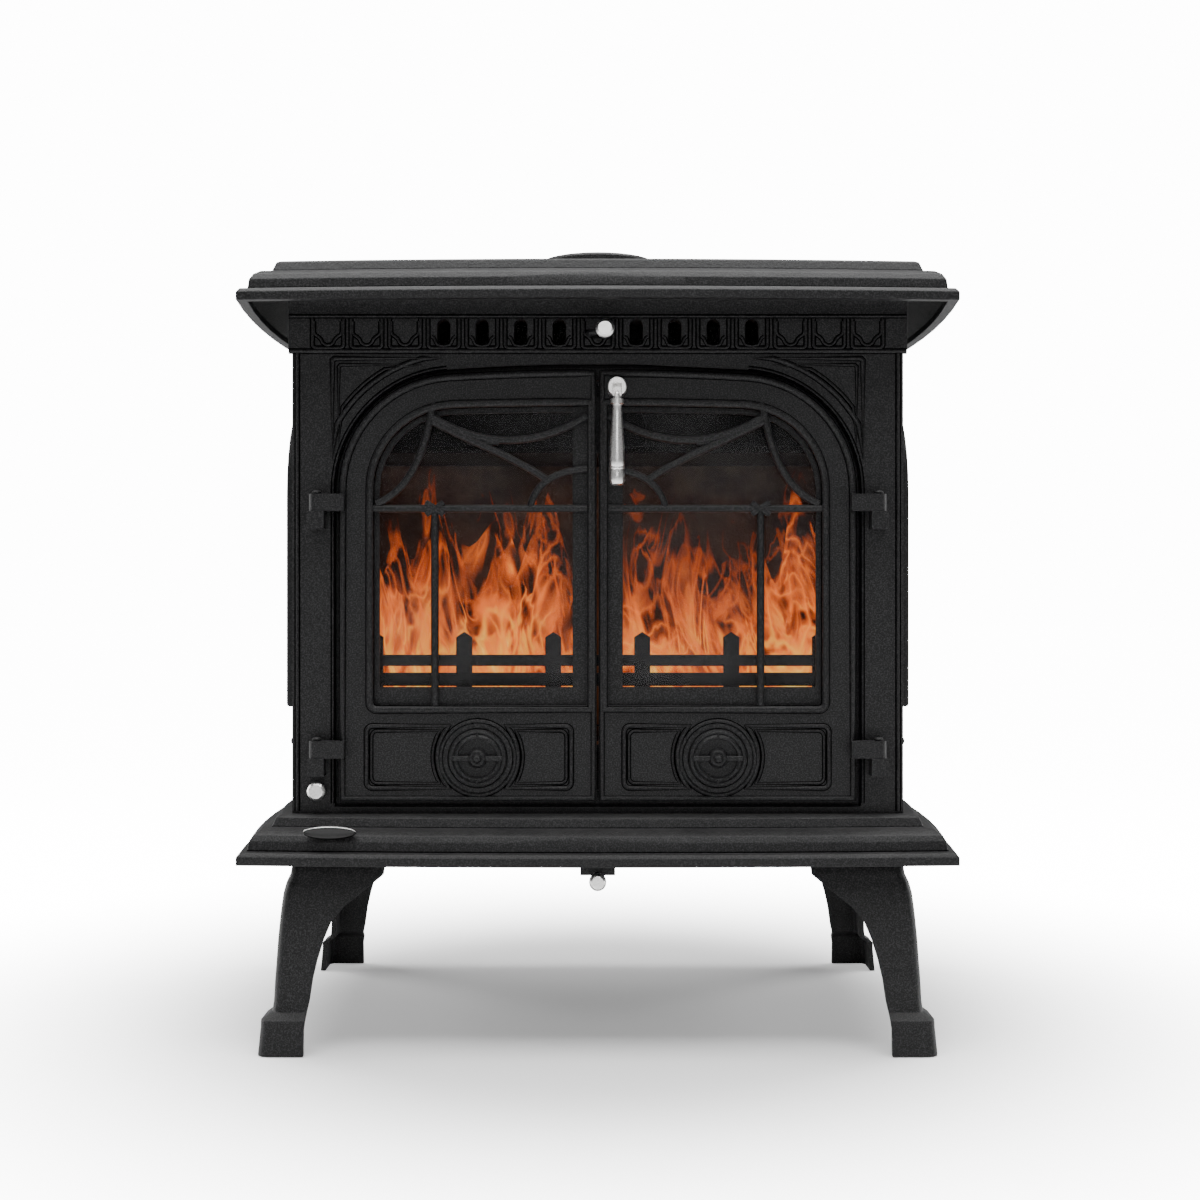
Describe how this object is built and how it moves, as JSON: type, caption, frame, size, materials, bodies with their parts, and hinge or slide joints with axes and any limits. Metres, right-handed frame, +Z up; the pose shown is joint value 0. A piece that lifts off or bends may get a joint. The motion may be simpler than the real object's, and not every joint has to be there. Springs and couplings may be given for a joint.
{
  "type": "wood burning stove",
  "caption": "Free-standing cast-iron wood stove with arched double glass doors, tracery, spin air valves, curved legs and a top flue collar.",
  "frame": {"origin": "on the floor under the middle of the stove", "axes": "+Z up, the doors face -Y, +X to the right of a person facing the doors"},
  "size_m": [0.7236, 0.439, 0.822],
  "materials": {
    "cast_iron": "matt black stove paint over fine cast grain",
    "chrome": "bright satin chrome",
    "steel": "plain turned steel",
    "firebrick": "sooted vermiculite board",
    "rope": "braided glass-fibre rope",
    "glass": "clear heat-resistant glass",
    "badge": "blank black enamel oval with a raised rim"
  },
  "bodies": {
    "stove": {"ash_pan": "steel", "back_panel": "cast_iron", "badge_plate": "badge", "baffle_plate": "cast_iron", "base_plate": "cast_iron", "flue_collar": "cast_iron", "front_frame": "cast_iron", "front_left_leg": "cast_iron", "front_left_leg_bolt": "steel", "front_right_leg": "cast_iron", "front_right_leg_bolt": "steel", "grate_frame": "cast_iron", "latch_keeper": "steel", "left_firebrick": "firebrick", "left_lower_hinge_pin": "steel", "left_side_panel": "cast_iron", "left_side_screw": "steel", "left_side_shield": "cast_iron", "left_upper_hinge_pin": "steel", "log_guard": "cast_iron", "rear_blanking_plate": "cast_iron", "rear_firebrick": "firebrick", "rear_left_leg": "cast_iron", "rear_left_leg_bolt": "steel", "rear_right_leg": "cast_iron", "rear_right_leg_bolt": "steel", "right_firebrick": "firebrick", "right_lower_hinge_pin": "steel", "right_side_panel": "cast_iron", "right_side_screw": "steel", "right_side_shield": "cast_iron", "right_upper_hinge_pin": "steel", "slide_bracket": "cast_iron", "top_plate": "cast_iron"},
    "left_leaf": {"left_door": "cast_iron", "left_tracery": "cast_iron", "left_glass": "glass", "left_door_rope": "rope", "left_lower_glass_clip": "steel", "left_upper_glass_clip": "steel", "left_valve_spindle": "steel"},
    "right_leaf": {"right_door": "cast_iron", "right_tracery": "cast_iron", "right_glass": "glass", "right_door_rope": "rope", "right_lower_glass_clip": "steel", "right_upper_glass_clip": "steel", "right_valve_spindle": "steel"},
    "latch": {"door_handle": "chrome", "latch_spindle": "chrome", "latch_tongue": "steel"},
    "left_valve": {"left_air_wheel": "cast_iron"},
    "right_valve": {"right_air_wheel": "cast_iron"},
    "top_slide": {"top_air_slide": "cast_iron", "top_slide_knob": "chrome"},
    "under_slide": {"bottom_air_slide": "cast_iron", "bottom_slide_knob": "chrome"},
    "riddler": {"riddling_rod": "steel", "riddling_knob": "chrome", "riddling_grate": "cast_iron"}
  },
  "joints": [
    {"name": "left_door_swing", "type": "hinge", "parent": "stove", "child": "left_leaf", "pos_m": [-0.278, -0.168, 0.4], "axis": [0, 0, -1], "range_deg": [0, 110]},
    {"name": "right_door_swing", "type": "hinge", "parent": "stove", "child": "right_leaf", "pos_m": [0.278, -0.168, 0.4], "axis": [0, 0, 1], "range_deg": [0, 110]},
    {"name": "handle_turn", "type": "hinge", "parent": "right_leaf", "child": "latch", "pos_m": [0.019, -0.16, 0.651], "axis": [0, -1, 0], "range_deg": [-60, 35]},
    {"name": "left_valve_turn", "type": "hinge", "parent": "left_leaf", "child": "left_valve", "pos_m": [-0.119, -0.165, 0.2854], "axis": [0, -1, 0], "range_deg": [0, 360]},
    {"name": "right_valve_turn", "type": "hinge", "parent": "right_leaf", "child": "right_valve", "pos_m": [0.119, -0.165, 0.2854], "axis": [0, -1, 0], "range_deg": [0, 360]},
    {"name": "top_air_slide_move", "type": "slide", "parent": "stove", "child": "top_slide", "axis": [1, 0, 0], "range_m": [0, 0.019]},
    {"name": "bottom_air_slide_pull", "type": "slide", "parent": "stove", "child": "under_slide", "axis": [0, -1, 0], "range_m": [0, 0.03]},
    {"name": "riddling_pull", "type": "slide", "parent": "stove", "child": "riddler", "axis": [0, -1, 0], "range_m": [0, 0.012]}
  ]
}
